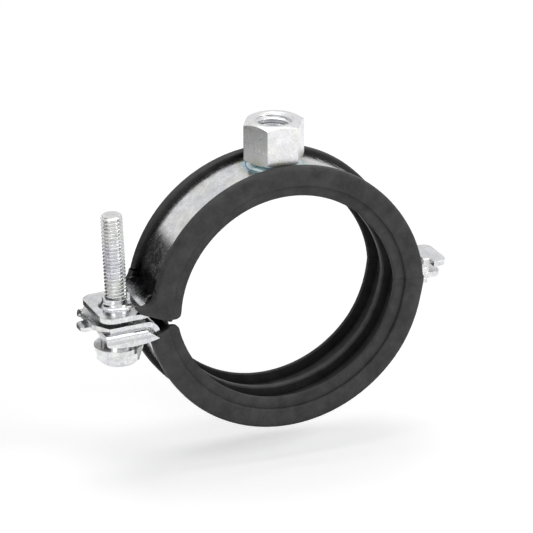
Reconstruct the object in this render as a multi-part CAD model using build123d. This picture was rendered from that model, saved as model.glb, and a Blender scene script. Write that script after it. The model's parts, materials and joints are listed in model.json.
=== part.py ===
from build123d import *
import math
import os

# Rubber lined pipe clamp for a 2 inch pipe: two half rings of zinc plated strip, hinged at the
# right by hooked ears and drawn together at the left by one closing screw.
#
# Frame: millimetres, +Z up, +Y along the pipe. The origin is on the pipe axis at mid width, level
# with the closing plane, where the two flanges at the screw meet. The hinge is at +X.

# ---- strip ----------------------------------------------------------------------------------
STRIP_WIDTH = 19.4
STRIP_THICKNESS = 1.4
BAND_RADIUS = 35.9            # inside of the upper half ring
LOWER_BAND_SPREAD = 1.3       # the lower half ring is bent this much wider
UPPER_ARC_DROP = 1.4          # the upper half's centre lies this far below the closing plane
LOWER_ARC_RISE = 3.5          # the lower half's centre lies this far above it
UPPER_ARC_SHIFT = 0.3         # and this far towards the hinge
LOWER_ARC_SHIFT = 0.15
HINGE_BEND_RADIUS = 1.6       # inside radius where the strip turns out into a hinge plate
UPPER_BEND_RADIUS = 5.0       # inside radius where the strip turns out into a closing flange
LOWER_BEND_RADIUS = 2.4

# ---- rubber lining, one extruded section for both halves ------------------------------------
LINING_SIDE_THICKNESS = 1.1   # rubber outside the strip's edges
LINING_SIDE_TAPER = 0.3       # the side is widest at mid height and falls back to both edges
LINING_CORNER = 1.0
LINING_SMALL_CORNER = 0.6
LIP_REACH = 2.1               # how far a lip folds over the face of the strip
LIP_THICKNESS = 1.5
PAD_THICKNESS = 2.5           # rubber between the strip and the floor of the grooves
EDGE_RIB_HEIGHT = 2.9
EDGE_RIB_THICKNESS = 1.1      # at its tip
EDGE_RIB_SETBACK = 1.4        # from the side of the lining to the rib's outer face
CENTRE_RIB_HEIGHT = 2.6
CENTRE_RIB_THICKNESS = 2.2
RIB_DRAFT = 0.4               # how much a rib widens on each side, from tip to root
RIB_BEVEL = 0.3               # takes the corners off a rib's tip
LINING_END_CORNER = 1.8       # rounding of the lining's ends, seen from the side
UPPER_LINING_OVERHANG = 0.9   # the upper lining ends this far below the closing plane
LOWER_LINING_SETBACK = 2.6    # the lower lining ends this far below it
LINING_END_SLANT = 22.0       # degrees, outside the pipe's opening the ends lean away from the screw
LINING_END_BREAK = 1.9        # that slant begins this far inside the upper band
LINING_FLARE_REACH = 6.9      # the upper lining follows its strip this far out onto the flange
LINING_FLARE_CORNER = 1.8
LINING_FLARE_TOP = 7.2        # level where the flare begins, above the flange's bend
LINING_FLARE_INSET = 0.25     # its flat sides stand this far inside the lining's widest
LINING_FLARE_ROOT = 0.4       # it is rooted this far over the floor of the grooves
LINING_BUTT_GAP = 0.1         # between the two linings at the hinge
LIP_CUTBACK = 0.5             # from a flange's bend to the end of the lips

# ---- closing flanges, seen along the screw ---------------------------------------------------
SCREW_STANDOFF = 9.1          # from the inside of the upper band to the screw's axis
FLANGE_TILT = 2.5             # degrees, the outer ends of the flanges lie lower
FLANGE_GAP = 1.2
UPPER_FLANGE_REACH = 7.1      # from the screw axis to the tip
LOWER_FLANGE_REACH = 8.6
UPPER_FLANGE_CORNER = 3.6
LOWER_FLANGE_CUT_LENGTH = 3.05    # the corners are cut off this far along the flange
LOWER_FLANGE_CUT_WIDTH = 5.2      # and this far across it
SLOT_TRAVEL = 2.6             # lets the lower flange draw back past the screw as it swings

# ---- threaded collar drawn up out of the upper flange ----------------------------------------
COLLAR_HEIGHT = 2.4
COLLAR_RIM_DIAMETER = 7.6
COLLAR_FLARE = 1.4

# ---- teeth pressed up out of the bend of the upper flange, beside the lips ---------------------
TOOTH_RADIUS = 2.3
TOOTH_THICKNESS = 0.8
TOOTH_INSET = 2.6             # from the strip's edge

# ---- closing screw, M6 -------------------------------------------------------------------------
SCREW_DIAMETER = 5.9
SCREW_LENGTH = 36.8           # under the head
SCREW_TIP_CHAMFER = 0.5
HEAD_ACROSS_FLATS = 11.0
HEAD_HEIGHT = 3.5
HEAD_CHAMFER = 1.5
HEAD_FLANGE_DIAMETER = 13.4
HEAD_FLANGE_THICKNESS = 1.5
HEAD_FLANGE_TAPER = 0.25
HEAD_SLOT_WIDTH = 1.4
HEAD_SLOT_DEPTH = 1.6
HEAD_SLOT_ANGLE = -26.0

# ---- retaining washer, a stamped saddle with a drawn foot ----------------------------------------
WASHER_THICKNESS = 1.2
WASHER_OVERHANG = 2.6         # past the strip's edge on each side
WASHER_BEND = 2.6             # outside radius of the rolled sides
WASHER_LEFT = -7.1            # ends of the web and of its sides, from the screw axis
WASHER_WEB_RIGHT = 3.9
WASHER_WING_RIGHT = 7.3
WASHER_WING_DROP = 2.6        # from the web's top to a side's tips
WASHER_SIDE_DROP = 3.55       # from the web's top to the middle of the side's lower edge
TONGUE_REACH = 11.0           # from the screw axis
TONGUE_WIDTH = 5.2
TONGUE_CHAMFER = 1.0
FOOT_HEIGHT = 6.0             # from the web's underside to the screw head
FOOT_TOP_DIAMETER = 13.0
FOOT_DIAMETER = 9.6

# ---- hinge -----------------------------------------------------------------------------------------
HINGE_WIDTH = 13.0
HINGE_UPPER_LEVEL = 1.6       # underside of the upper hinge plate
HINGE_LOWER_LEVEL = 0.0       # top of the lower hinge plate
HINGE_UPPER_LENGTH = 12.5     # these lengths run from the inside of the upper band
HINGE_LOWER_LENGTH = 10.7
HINGE_CORNER = 2.4
HINGE_SHOULDER = 5.0          # where both plates narrow
NECK_WIDTH = 8.2
NECK_END = 8.4
EAR_START = 5.6
EAR_LENGTH = 1.8
EAR_HOOK = 1.1                # how far an ear reaches in over the neck
EAR_HOOK_THICKNESS = 0.8
EAR_CROWN_RADIUS = 0.7

# ---- connection nut, M10, welded on the crown of the upper half -------------------------------------
NUT_ACROSS_FLATS = 14.8
NUT_LIFT = 0.7                # from the crown of the strip to the nut's lower face
NUT_HEIGHT = 11.4
NUT_CHAMFER = 0.9
NUT_TURN = -3.0
NUT_BORE_DIAMETER = 8.5
NUT_COUNTERSINK_DIAMETER = 10.9
NUT_BORE_FLOOR = 0.3          # metal left under the bore, over the crown of the strip
NUT_NECK_DIAMETER = 12.8
WELD_WIDTH = 1.25
WELD_SINK = 0.4               # how far the weld's rim lies below the crown

# ---- fits --------------------------------------------------------------------------------------------
THREAD_CLEARANCE = 0.05       # radial, screw in the threaded collar
HOLE_CLEARANCE = 0.10         # radial, screw in the retaining washer
SLOT_CLEARANCE = 0.35         # screw in the slot of the lower flange
HINGE_CLEARANCE = 0.20        # ears beside and over the neck

# ---- derived -------------------------------------------------------------------------------------------
LOWER_BAND_RADIUS = BAND_RADIUS + LOWER_BAND_SPREAD
UPPER_CENTRE = (UPPER_ARC_SHIFT, -UPPER_ARC_DROP)    # of a half ring, in the side view
LOWER_CENTRE = (LOWER_ARC_SHIFT, LOWER_ARC_RISE)
CROWN = BAND_RADIUS + STRIP_THICKNESS - UPPER_ARC_DROP
NUT_BASE_Z = CROWN + NUT_LIFT
SCREW_AXIS_X = -BAND_RADIUS - SCREW_STANDOFF
LINING_END_BREAK_X = LINING_END_BREAK - BAND_RADIUS
LINING_FLARE_X = -BAND_RADIUS - LINING_FLARE_REACH
HINGE_UPPER_REACH = BAND_RADIUS + HINGE_UPPER_LENGTH
HINGE_LOWER_REACH = BAND_RADIUS + HINGE_LOWER_LENGTH
HINGE_SHOULDER_X = BAND_RADIUS + HINGE_SHOULDER
NECK_END_X = BAND_RADIUS + NECK_END
EAR_START_X = BAND_RADIUS + EAR_START
HALF_WIDTH = STRIP_WIDTH / 2
LINING_HALF_WIDTH = HALF_WIDTH + LINING_SIDE_THICKNESS
WASHER_HALF_WIDTH = HALF_WIDTH + WASHER_OVERHANG
HALF_GAP = FLANGE_GAP / 2
SCREW_RADIUS = SCREW_DIAMETER / 2
WASHER_TOP = -HALF_GAP - STRIP_THICKNESS
WASHER_UNDERSIDE = WASHER_TOP - WASHER_THICKNESS
HEAD_TOP = WASHER_UNDERSIDE - FOOT_HEIGHT
HINGE_MID_LEVEL = (HINGE_UPPER_LEVEL + HINGE_LOWER_LEVEL) / 2
NUT_NECK_DEPTH = 4.0          # far enough to pass the strip's face, where it is cut to seat
REACH = 200.0                 # longer than anything here, for cutting

# The closing flanges, the screw and the washer are drawn in the screw's frame: origin where the
# screw crosses the closing plane, local X towards the ring, local Z along the screw. In the side
# view, where X is across and Z is up the page, the same frame is a turn of the page.
SCREW_FRAME = Location((SCREW_AXIS_X, 0, 0), (0, -FLANGE_TILT, 0))
SCREW_PAGE = Pos(SCREW_AXIS_X, 0) * Rot(0, 0, FLANGE_TILT)


def page_box(x0: float, x1: float, z0: float, z1: float) -> Sketch:
    """A rectangle of the side view, by its limits."""
    return Pos((x0 + x1) / 2, (z0 + z1) / 2) * Rectangle(x1 - x0, z1 - z0)


def box(x0: float, x1: float, y0: float, y1: float, z0: float, z1: float) -> Part:
    """A box by its limits."""
    return Pos((x0 + x1) / 2, (y0 + y1) / 2, (z0 + z1) / 2) * Box(x1 - x0, y1 - y0, z1 - z0)


def stand_up(page: Sketch, half_width: float) -> Part:
    """A side view given its width, centred on mid width."""
    return Rot(90, 0, 0) * extrude(page, half_width, both=True)


def round_corner(page: Sketch, x: float, z: float, radius: float) -> Sketch:
    """Rounds the corner of a side view that lies nearest a point."""
    corner = min(page.vertices(), key=lambda v: (Vector(x, z) - Vector(v.X, v.Y)).length)
    return fillet(corner, radius)


def edges_at(solid: Part, points: list, direction: Vector) -> ShapeList:
    """The straight edges along a direction whose middles lie nearest the given points."""
    along = [
        e for e in solid.edges().filter_by(GeomType.LINE)
        if abs(e.tangent_at(0.5).dot(direction)) > 0.999
    ]
    return ShapeList([min(along, key=lambda e: (e.center() - Vector(*p)).length) for p in points])


def outline(points: list) -> Sketch:
    """A closed outline with straight sides."""
    return make_face(Polyline(*points, close=True))


def turned(profile: Sketch, frame: Location = Location()) -> Part:
    """A solid of revolution about a frame's Z, from a profile drawn as radius against height."""
    return frame * revolve(Rot(90, 0, 0) * profile, Axis.Z)


def mirrored(part: Part) -> list:
    """A part and its image across mid width."""
    return [part, mirror(part, Plane.XZ)]


def arc_meets(radius: float, centre: tuple, z: float, side: int) -> float:
    """Where a half ring's circle crosses a level: the X on the given side."""
    return centre[0] + side * math.sqrt(radius**2 - (z - centre[1]) ** 2)


def closing_level(x: float, height: float) -> float:
    """The level, at a place, of a face at the given height in the screw's frame."""
    slope = math.radians(FLANGE_TILT)
    return height / math.cos(slope) + (x - SCREW_AXIS_X) * math.tan(slope)


def half_ring_page(radius: float, centre: tuple, up: int) -> Sketch:
    """The side view of a half band: an arc of strip whose ends turn out into two flanges.

    up is 1 for the upper half, whose flanges lie above their closing line, and -1 for the lower.
    """
    outer = radius + STRIP_THICKNESS
    inside = Pos(*centre) * Circle(radius)
    hinge_face = HINGE_UPPER_LEVEL if up > 0 else HINGE_LOWER_LEVEL
    hinge_reach = HINGE_UPPER_REACH if up > 0 else HINGE_LOWER_REACH
    reach = UPPER_FLANGE_REACH if up > 0 else LOWER_FLANGE_REACH
    bend = UPPER_BEND_RADIUS if up > 0 else LOWER_BEND_RADIUS
    levels = sorted((up * HALF_GAP, up * (HALF_GAP + STRIP_THICKNESS)))
    flange = SCREW_PAGE * page_box(-reach, -SCREW_AXIS_X - radius / 2, *levels)
    levels = sorted((hinge_face, hinge_face + up * STRIP_THICKNESS))
    hinge = page_box(radius / 2, hinge_reach, *levels)
    far = -up * REACH
    ends = [(-REACH, closing_level(-REACH, up * HALF_GAP)), (0, closing_level(0, up * HALF_GAP))]
    beyond_flange = outline(ends + [(0, far), (-REACH, far)])
    beyond_hinge = page_box(0, REACH, *sorted((far, hinge_face)))
    page = Pos(*centre) * Circle(outer) - inside - beyond_flange - beyond_hinge
    page = page + (flange - inside) + (hinge - inside)

    flange_face = closing_level(-outer, up * HALF_GAP)
    for side, face, corner in ((-1, flange_face, bend), (1, hinge_face, HINGE_BEND_RADIUS)):
        back = face + up * STRIP_THICKNESS
        page = round_corner(page, arc_meets(outer, centre, back, side), back, corner)
        page = round_corner(page, arc_meets(radius, centre, face, side), face, corner + STRIP_THICKNESS)
    return page


def upper_cover_page(cover: float) -> Sketch:
    """The side view of all that lies under the upper band's outer face at the flange, grown by a cover."""
    outer = BAND_RADIUS + STRIP_THICKNESS + cover
    top = HALF_GAP + STRIP_THICKNESS + cover
    slab = SCREW_PAGE * page_box(-UPPER_FLANGE_REACH, -SCREW_AXIS_X, -BAND_RADIUS / 2, top)
    page = Pos(*UPPER_CENTRE) * Circle(outer) + slab
    level = closing_level(-outer, top)
    return round_corner(page, arc_meets(outer, UPPER_CENTRE, level, -1), level, UPPER_BEND_RADIUS - cover)


def hinge_sides(shoulder_x: float, end_x: float, width: float) -> list:
    """What is cut away on both sides of a hinge plate between two places."""
    return mirrored(box(shoulder_x, end_x, width / 2, STRIP_WIDTH, -REACH / 2, REACH / 2))


def make_upper_band() -> Part:
    """The upper half: ring, flange with its threaded collar, and the hinge plate's T head."""
    band = stand_up(half_ring_page(BAND_RADIUS, UPPER_CENTRE, 1), HALF_WIDTH)
    for piece in hinge_sides(HINGE_SHOULDER_X, REACH, HINGE_WIDTH):
        band = band - piece
    for piece in hinge_sides(HINGE_SHOULDER_X, NECK_END_X, NECK_WIDTH):
        band = band - piece
    head_level = HINGE_UPPER_LEVEL + STRIP_THICKNESS / 2
    tips = [(HINGE_UPPER_REACH, s * HINGE_WIDTH / 2, head_level) for s in (-1, 1)]
    band = fillet(edges_at(band, tips, Vector(0, 0, 1)), HINGE_CORNER)

    mid = HALF_GAP + STRIP_THICKNESS / 2
    tips = [(SCREW_FRAME * Pos(-UPPER_FLANGE_REACH, s * HALF_WIDTH, mid)).position for s in (-1, 1)]
    screw_way = (SCREW_FRAME * Pos(0, 0, 1)).position - SCREW_FRAME.position
    band = fillet(edges_at(band, tips, screw_way), UPPER_FLANGE_CORNER)

    top = HALF_GAP + STRIP_THICKNESS
    rim = COLLAR_RIM_DIAMETER / 2
    crest = top + COLLAR_HEIGHT
    wide = rim + COLLAR_FLARE
    collar = outline([(0, mid), (wide + 1, mid), (wide + 1, top), (rim, top), (rim, crest), (0, crest)])
    band = band + turned(round_corner(collar, rim, top, COLLAR_FLARE), SCREW_FRAME)
    bore = SCREW_RADIUS + THREAD_CLEARANCE
    entry = HALF_GAP + rim - bore
    bore_profile = [(0, 0), (rim, 0), (rim, HALF_GAP), (bore, entry), (bore, crest + 1), (0, crest + 1)]
    band = band - turned(outline(bore_profile), SCREW_FRAME)
    bend_level = closing_level(-BAND_RADIUS, top + UPPER_BEND_RADIUS)
    bend_x = arc_meets(BAND_RADIUS + STRIP_THICKNESS + UPPER_BEND_RADIUS, UPPER_CENTRE, bend_level, -1)
    lean = UPPER_BEND_RADIUS * math.sqrt(0.5)
    tooth_page = Pos(bend_x + lean, bend_level - lean) * Circle(TOOTH_RADIUS)
    tooth_page = tooth_page - upper_cover_page(-STRIP_THICKNESS / 2)
    return band + mirrored(Pos(0, HALF_WIDTH - TOOTH_INSET, 0) * stand_up(tooth_page, TOOTH_THICKNESS / 2))


def make_lower_band() -> Part:
    """The lower half: ring, flange with the screw's slot, and the hinge plate with its ears."""
    band = stand_up(half_ring_page(LOWER_BAND_RADIUS, LOWER_CENTRE, -1), HALF_WIDTH)
    for piece in hinge_sides(HINGE_SHOULDER_X, REACH, HINGE_WIDTH):
        band = band - piece
    mid_level = HINGE_LOWER_LEVEL - STRIP_THICKNESS / 2
    tips = [(HINGE_LOWER_REACH, s * HINGE_WIDTH / 2, mid_level) for s in (-1, 1)]
    band = fillet(edges_at(band, tips, Vector(0, 0, 1)), HINGE_CORNER)

    mid = -HALF_GAP - STRIP_THICKNESS / 2
    tip = -LOWER_FLANGE_REACH
    corner = outline([(tip, HALF_WIDTH), (tip + LOWER_FLANGE_CUT_LENGTH, HALF_WIDTH),
                      (tip, HALF_WIDTH - LOWER_FLANGE_CUT_WIDTH)])
    wedge = Pos(0, 0, mid) * extrude(corner, 2 * STRIP_THICKNESS, both=True)
    for piece in mirrored(wedge):
        band = band - SCREW_FRAME * piece

    slot_width = 2 * (SCREW_RADIUS + SLOT_CLEARANCE)
    slot = extrude(SlotCenterToCenter(SLOT_TRAVEL, slot_width), 2 * STRIP_THICKNESS, both=True)
    band = band - SCREW_FRAME * Pos(-SLOT_TRAVEL / 2, 0, mid) * slot

    inner = NECK_WIDTH / 2 + HINGE_CLEARANCE
    outer = inner + STRIP_THICKNESS
    hook_z = HINGE_UPPER_LEVEL + STRIP_THICKNESS + HINGE_CLEARANCE
    end_x = EAR_START_X + EAR_LENGTH
    ear = box(EAR_START_X, end_x, inner, outer, mid_level, hook_z + EAR_HOOK_THICKNESS)
    ear = ear + box(EAR_START_X, end_x, inner - EAR_HOOK, outer, hook_z, hook_z + EAR_HOOK_THICKNESS)
    crown = [(EAR_START_X + EAR_LENGTH / 2, outer, hook_z + EAR_HOOK_THICKNESS)]
    ear = fillet(edges_at(ear, crown, Vector(1, 0, 0)), EAR_CROWN_RADIUS)
    return band + mirrored(ear)


def lining_section(radius: float) -> Face:
    """The rubber's section on the YZ plane, for a band of the given inside radius."""
    lip = radius + STRIP_THICKNESS + LIP_THICKNESS
    floor = radius - PAD_THICKNESS
    flank = LINING_HALF_WIDTH - LINING_SIDE_TAPER
    rib = LINING_HALF_WIDTH - EDGE_RIB_SETBACK
    inner = rib - EDGE_RIB_THICKNESS
    crest = floor - EDGE_RIB_HEIGHT
    centre = floor - CENTRE_RIB_HEIGHT
    half_centre = CENTRE_RIB_THICKNESS / 2
    half = [
        (HALF_WIDTH - LIP_REACH, radius + STRIP_THICKNESS, 0),
        (HALF_WIDTH - LIP_REACH, lip, LINING_SMALL_CORNER),
        (flank, lip, LINING_CORNER),
        (LINING_HALF_WIDTH, radius + STRIP_THICKNESS / 2, 0),
        (flank, floor, LINING_SMALL_CORNER),
        (rib + RIB_DRAFT / 2, floor, 0),
        (rib, crest + RIB_BEVEL, 0),
        (rib - RIB_BEVEL, crest, 0),
        (inner + RIB_BEVEL, crest, 0),
        (inner, crest + RIB_BEVEL, 0),
        (inner - RIB_DRAFT, floor, 0),
        (half_centre + RIB_DRAFT, floor, 0),
        (half_centre, centre + RIB_BEVEL, 0),
        (half_centre - RIB_BEVEL, centre, 0),
    ]
    channel = [(HALF_WIDTH, radius), (HALF_WIDTH, radius + STRIP_THICKNESS)]
    right = [(y, r) for y, r, _ in half]
    points = right + [(-y, r) for y, r in reversed(right)]
    points += [(-y, r) for y, r in reversed(channel)] + channel
    face = outline(points)
    for y, r, corner in half:
        if corner:
            for side in (-1, 1):
                face = round_corner(face, side * y, r, corner)
    return Plane.YZ * face


def beyond_lining_end(up: int) -> Sketch:
    """The side view of what is cut away past a lining's end at the screw: level, then slanting."""
    level = -UPPER_LINING_OVERHANG if up > 0 else -LOWER_LINING_SETBACK
    rise = up * (REACH + LINING_END_BREAK_X) * math.tan(math.radians(LINING_END_SLANT))
    far = -up * 2 * REACH
    ends = [(-REACH, level + rise), (LINING_END_BREAK_X, level), (0, level)]
    return outline(ends + [(0, far), (-REACH, far)])


def make_lining(radius: float, centre: tuple, up: int) -> Part:
    """A half lining: the section turned about the half ring's centre, then cut to its ends."""
    lip = radius + STRIP_THICKNESS + LIP_THICKNESS
    crest = radius - PAD_THICKNESS - EDGE_RIB_HEIGHT
    axis = Axis((centre[0], 0, centre[1]), (0, 1, 0))
    ring = revolve(Pos(centre[0], 0, centre[1]) * lining_section(radius), axis)
    butt_level = HINGE_MID_LEVEL + up * LINING_BUTT_GAP / 2
    page = Pos(*centre) * (Circle(lip) - Circle(crest)) - beyond_lining_end(up)
    page = page - page_box(0, REACH, *sorted((-up * REACH, butt_level)))
    end_level = -UPPER_LINING_OVERHANG if up > 0 else -LOWER_LINING_SETBACK
    page = round_corner(page, arc_meets(crest, centre, end_level, -1), end_level, LINING_END_CORNER)
    lining = ring & stand_up(page, LINING_HALF_WIDTH)

    bend = UPPER_BEND_RADIUS if up > 0 else LOWER_BEND_RADIUS
    flange_end = closing_level(-radius, up * HALF_GAP) + up * (STRIP_THICKNESS + bend + LIP_CUTBACK)
    hinge_face = HINGE_UPPER_LEVEL if up > 0 else HINGE_LOWER_LEVEL
    hinge_end = hinge_face + up * (STRIP_THICKNESS + HINGE_BEND_RADIUS + LIP_CUTBACK)
    room = page_box(-REACH, 0, *sorted((-up * REACH, flange_end)))
    room = room + page_box(0, REACH, *sorted((-up * REACH, hinge_end)))
    return lining - stand_up(room - Pos(*centre) * Circle(radius), HALF_WIDTH)


def make_upper_lining() -> Part:
    """The upper lining, which follows its strip round the bend and out onto the closing flange."""
    lining = make_lining(BAND_RADIUS, UPPER_CENTRE, 1)
    floor = BAND_RADIUS - PAD_THICKNESS
    below = page_box(-REACH, LINING_END_BREAK_X / 2, -REACH, LINING_FLARE_TOP)
    below = below - Pos(*UPPER_CENTRE) * Circle(floor + 2 * LINING_FLARE_ROOT)
    lining = lining - stand_up(below, STRIP_WIDTH)

    zone = page_box(LINING_FLARE_X, LINING_END_BREAK_X / 2, -BAND_RADIUS / 2, LINING_FLARE_TOP)
    zone = zone - beyond_lining_end(1)
    rise = (LINING_END_BREAK_X - LINING_FLARE_X) * math.tan(math.radians(LINING_END_SLANT))
    zone = round_corner(zone, LINING_FLARE_X, rise - UPPER_LINING_OVERHANG, LINING_FLARE_CORNER)
    bulk = upper_cover_page(LIP_THICKNESS)
    bulk = bulk - Pos(*UPPER_CENTRE) * Circle(floor + LINING_FLARE_ROOT)
    flare = stand_up(bulk & zone, LINING_HALF_WIDTH - LINING_FLARE_INSET)
    strip = upper_cover_page(0) - upper_cover_page(-STRIP_THICKNESS)
    flare = flare - stand_up(strip, HALF_WIDTH)
    between_lips = upper_cover_page(2 * LIP_THICKNESS) - upper_cover_page(-STRIP_THICKNESS / 2)
    return lining + (flare - stand_up(between_lips, HALF_WIDTH - LIP_REACH))


def hexagon(across_flats: float, z0: float, z1: float, turn: float = 0.0) -> Part:
    """A hexagonal bar between two levels, with corners on the X axis before its turn."""
    bar = RegularPolygon(across_flats / 2, 6, major_radius=False, rotation=turn)
    return Pos(0, 0, z0) * extrude(bar, z1 - z0)


def make_connection_nut() -> Part:
    """The welded nut: chamfered hexagon on a short neck that seats on the curve of the strip."""
    top = NUT_BASE_Z + NUT_HEIGHT
    flat = NUT_ACROSS_FLATS / 2
    corner = flat / math.cos(math.pi / 6)
    rise = (corner - flat + NUT_CHAMFER / 2) * math.tan(math.radians(30))
    low = NUT_BASE_Z
    face = flat - NUT_CHAMFER / 2
    barrel = turned(outline([(0, low), (face, low), (corner, low + rise), (corner, top - rise), (face, top),
                     (0, top)]))
    nut = hexagon(NUT_ACROSS_FLATS, NUT_BASE_Z, top, NUT_TURN) & barrel
    neck = NUT_NECK_DIAMETER / 2
    foot = CROWN - NUT_NECK_DEPTH
    rim = neck + WELD_WIDTH
    nut = nut + turned(outline([(0, foot), (rim, foot), (rim, CROWN - WELD_SINK), (neck, NUT_BASE_Z),
                        (0, NUT_BASE_Z)]))
    nut = nut - stand_up(Pos(*UPPER_CENTRE) * Circle(BAND_RADIUS + STRIP_THICKNESS), STRIP_WIDTH)
    bore = NUT_BORE_DIAMETER / 2
    sink = NUT_COUNTERSINK_DIAMETER / 2
    floor = CROWN + NUT_BORE_FLOOR
    mouth = top - (sink - bore)
    return nut - turned(outline([(0, floor), (bore, floor), (bore, mouth), (sink, top), (0, top)]))


def make_closing_screw() -> Part:
    """The M6 screw, thread upwards, with a slotted hexagon head on a washer face."""
    tip = HEAD_TOP + SCREW_LENGTH
    rim_low = HEAD_TOP - HEAD_FLANGE_THICKNESS
    base = rim_low - HEAD_HEIGHT
    flange_top = HEAD_FLANGE_DIAMETER / 2
    flat = HEAD_ACROSS_FLATS / 2
    screw = turned(outline([(0, rim_low), (flange_top - HEAD_FLANGE_TAPER, rim_low), (flange_top, HEAD_TOP),
                    (SCREW_RADIUS, HEAD_TOP), (SCREW_RADIUS, tip - SCREW_TIP_CHAMFER),
                    (SCREW_RADIUS - SCREW_TIP_CHAMFER, tip), (0, tip)]))
    corner = flat / math.cos(math.pi / 6)
    barrel = turned(outline([(0, base), (flat - HEAD_CHAMFER / 2, base), (corner, base + HEAD_CHAMFER),
                     (corner, rim_low), (0, rim_low)]))
    screw = screw + (hexagon(HEAD_ACROSS_FLATS, base, rim_low) & barrel)
    slot = Rot(0, 0, HEAD_SLOT_ANGLE) * box(-REACH, REACH, -HEAD_SLOT_WIDTH / 2, HEAD_SLOT_WIDTH / 2,
                                            base - 1, base + HEAD_SLOT_DEPTH)
    return SCREW_FRAME * (screw - slot)


def make_retaining_washer() -> Part:
    """The saddle under the lower flange: flat web, rolled sides, tongue and foot."""
    bottom = WASHER_TOP - WASHER_SIDE_DROP
    outer = page_box(-WASHER_HALF_WIDTH, WASHER_HALF_WIDTH, bottom, WASHER_TOP)
    inner = page_box(-WASHER_HALF_WIDTH + WASHER_THICKNESS, WASHER_HALF_WIDTH - WASHER_THICKNESS,
                     bottom - 1, WASHER_UNDERSIDE)
    for side in (-WASHER_HALF_WIDTH, WASHER_HALF_WIDTH):
        outer = round_corner(outer, side, WASHER_TOP, WASHER_BEND)
        inner = round_corner(inner, side, WASHER_UNDERSIDE, WASHER_BEND - WASHER_THICKNESS)
    saddle = Plane.YZ * extrude(outer - inner, REACH / 2, both=True)

    wing = WASHER_TOP - WASHER_WING_DROP
    over = WASHER_TOP + 1
    top_edge = Polyline((WASHER_LEFT, wing), (WASHER_LEFT, over), (WASHER_WEB_RIGHT, over),
                        (WASHER_WEB_RIGHT, WASHER_TOP), (WASHER_WING_RIGHT, wing))
    low_edge = ThreePointArc((WASHER_WING_RIGHT, wing), ((WASHER_LEFT + WASHER_WING_RIGHT) / 2, bottom),
                             (WASHER_LEFT, wing))
    saddle = saddle & stand_up(make_face([top_edge, low_edge]), WASHER_HALF_WIDTH)

    tongue = box(-TONGUE_REACH, 0, -TONGUE_WIDTH / 2, TONGUE_WIDTH / 2, WASHER_UNDERSIDE, WASHER_TOP)
    tips = [(-TONGUE_REACH, s * TONGUE_WIDTH / 2, WASHER_TOP - WASHER_THICKNESS / 2) for s in (-1, 1)]
    saddle = saddle + chamfer(edges_at(tongue, tips, Vector(0, 0, 1)), TONGUE_CHAMFER)

    hole = SCREW_RADIUS + HOLE_CLEARANCE
    top, low = FOOT_TOP_DIAMETER / 2, FOOT_DIAMETER / 2
    seat = HEAD_TOP + WASHER_THICKNESS
    saddle = saddle + turned(outline([(0, HEAD_TOP), (low, HEAD_TOP), (low, seat), (top, WASHER_UNDERSIDE),
                              (0, WASHER_UNDERSIDE)]))
    dish = top - WASHER_THICKNESS
    cavity = turned(outline([(0, HEAD_TOP), (hole, HEAD_TOP), (hole, seat), (low - WASHER_THICKNESS, seat),
                     (dish, WASHER_TOP), (0, WASHER_TOP)]))
    return SCREW_FRAME * (saddle - cavity)


PARTS = {
    "upper_band": make_upper_band(),
    "lower_band": make_lower_band(),
    "upper_lining": make_upper_lining(),
    "lower_lining": make_lining(LOWER_BAND_RADIUS, LOWER_CENTRE, -1),
    "connection_nut": make_connection_nut(),
    "closing_screw": make_closing_screw(),
    "retaining_washer": make_retaining_washer(),
}

os.makedirs("parts", exist_ok=True)
for name, part in PARTS.items():
    export_step(part, f"parts/{name}.step")
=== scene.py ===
"""Looks of the rubber lined pipe clamp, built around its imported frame.

Units are metres. The frame stands as the clamp hangs: +Z up along the hanging rod, +Y along the
pipe, the closing screw at -X and the hinge at +X.
"""

import json
import logging
import math
from dataclasses import dataclass, field, replace
from enum import Enum

import bmesh
import bpy
from mathutils import Matrix, Vector

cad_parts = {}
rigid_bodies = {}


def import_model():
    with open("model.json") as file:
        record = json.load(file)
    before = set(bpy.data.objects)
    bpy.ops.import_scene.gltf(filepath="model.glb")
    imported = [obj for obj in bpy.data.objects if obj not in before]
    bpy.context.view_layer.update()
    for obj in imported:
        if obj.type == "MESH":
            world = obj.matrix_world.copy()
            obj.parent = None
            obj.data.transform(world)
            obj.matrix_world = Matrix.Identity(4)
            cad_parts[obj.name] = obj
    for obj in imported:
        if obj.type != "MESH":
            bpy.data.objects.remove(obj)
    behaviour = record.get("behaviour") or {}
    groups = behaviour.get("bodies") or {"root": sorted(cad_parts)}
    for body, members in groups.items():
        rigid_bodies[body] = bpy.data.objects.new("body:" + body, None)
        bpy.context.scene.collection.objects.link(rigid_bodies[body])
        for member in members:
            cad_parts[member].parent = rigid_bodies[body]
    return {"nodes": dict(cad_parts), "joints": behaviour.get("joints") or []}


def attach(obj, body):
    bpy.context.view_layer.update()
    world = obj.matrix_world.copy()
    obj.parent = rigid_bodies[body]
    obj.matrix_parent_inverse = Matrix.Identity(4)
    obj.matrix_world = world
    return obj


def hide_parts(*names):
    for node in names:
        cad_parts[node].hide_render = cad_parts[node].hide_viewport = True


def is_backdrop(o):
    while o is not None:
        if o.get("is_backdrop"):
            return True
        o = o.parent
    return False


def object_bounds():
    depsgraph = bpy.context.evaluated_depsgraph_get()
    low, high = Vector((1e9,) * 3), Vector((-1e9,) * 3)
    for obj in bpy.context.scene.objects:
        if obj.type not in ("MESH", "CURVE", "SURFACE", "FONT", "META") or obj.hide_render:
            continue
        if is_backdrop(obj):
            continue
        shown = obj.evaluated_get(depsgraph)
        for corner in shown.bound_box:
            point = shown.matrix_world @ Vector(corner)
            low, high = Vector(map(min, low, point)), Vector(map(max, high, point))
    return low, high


MM = 0.001
PICTURE_SIDE = 533
SENSOR_WIDTH = 36.0
SMOOTH_ANGLE = math.radians(28)
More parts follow.
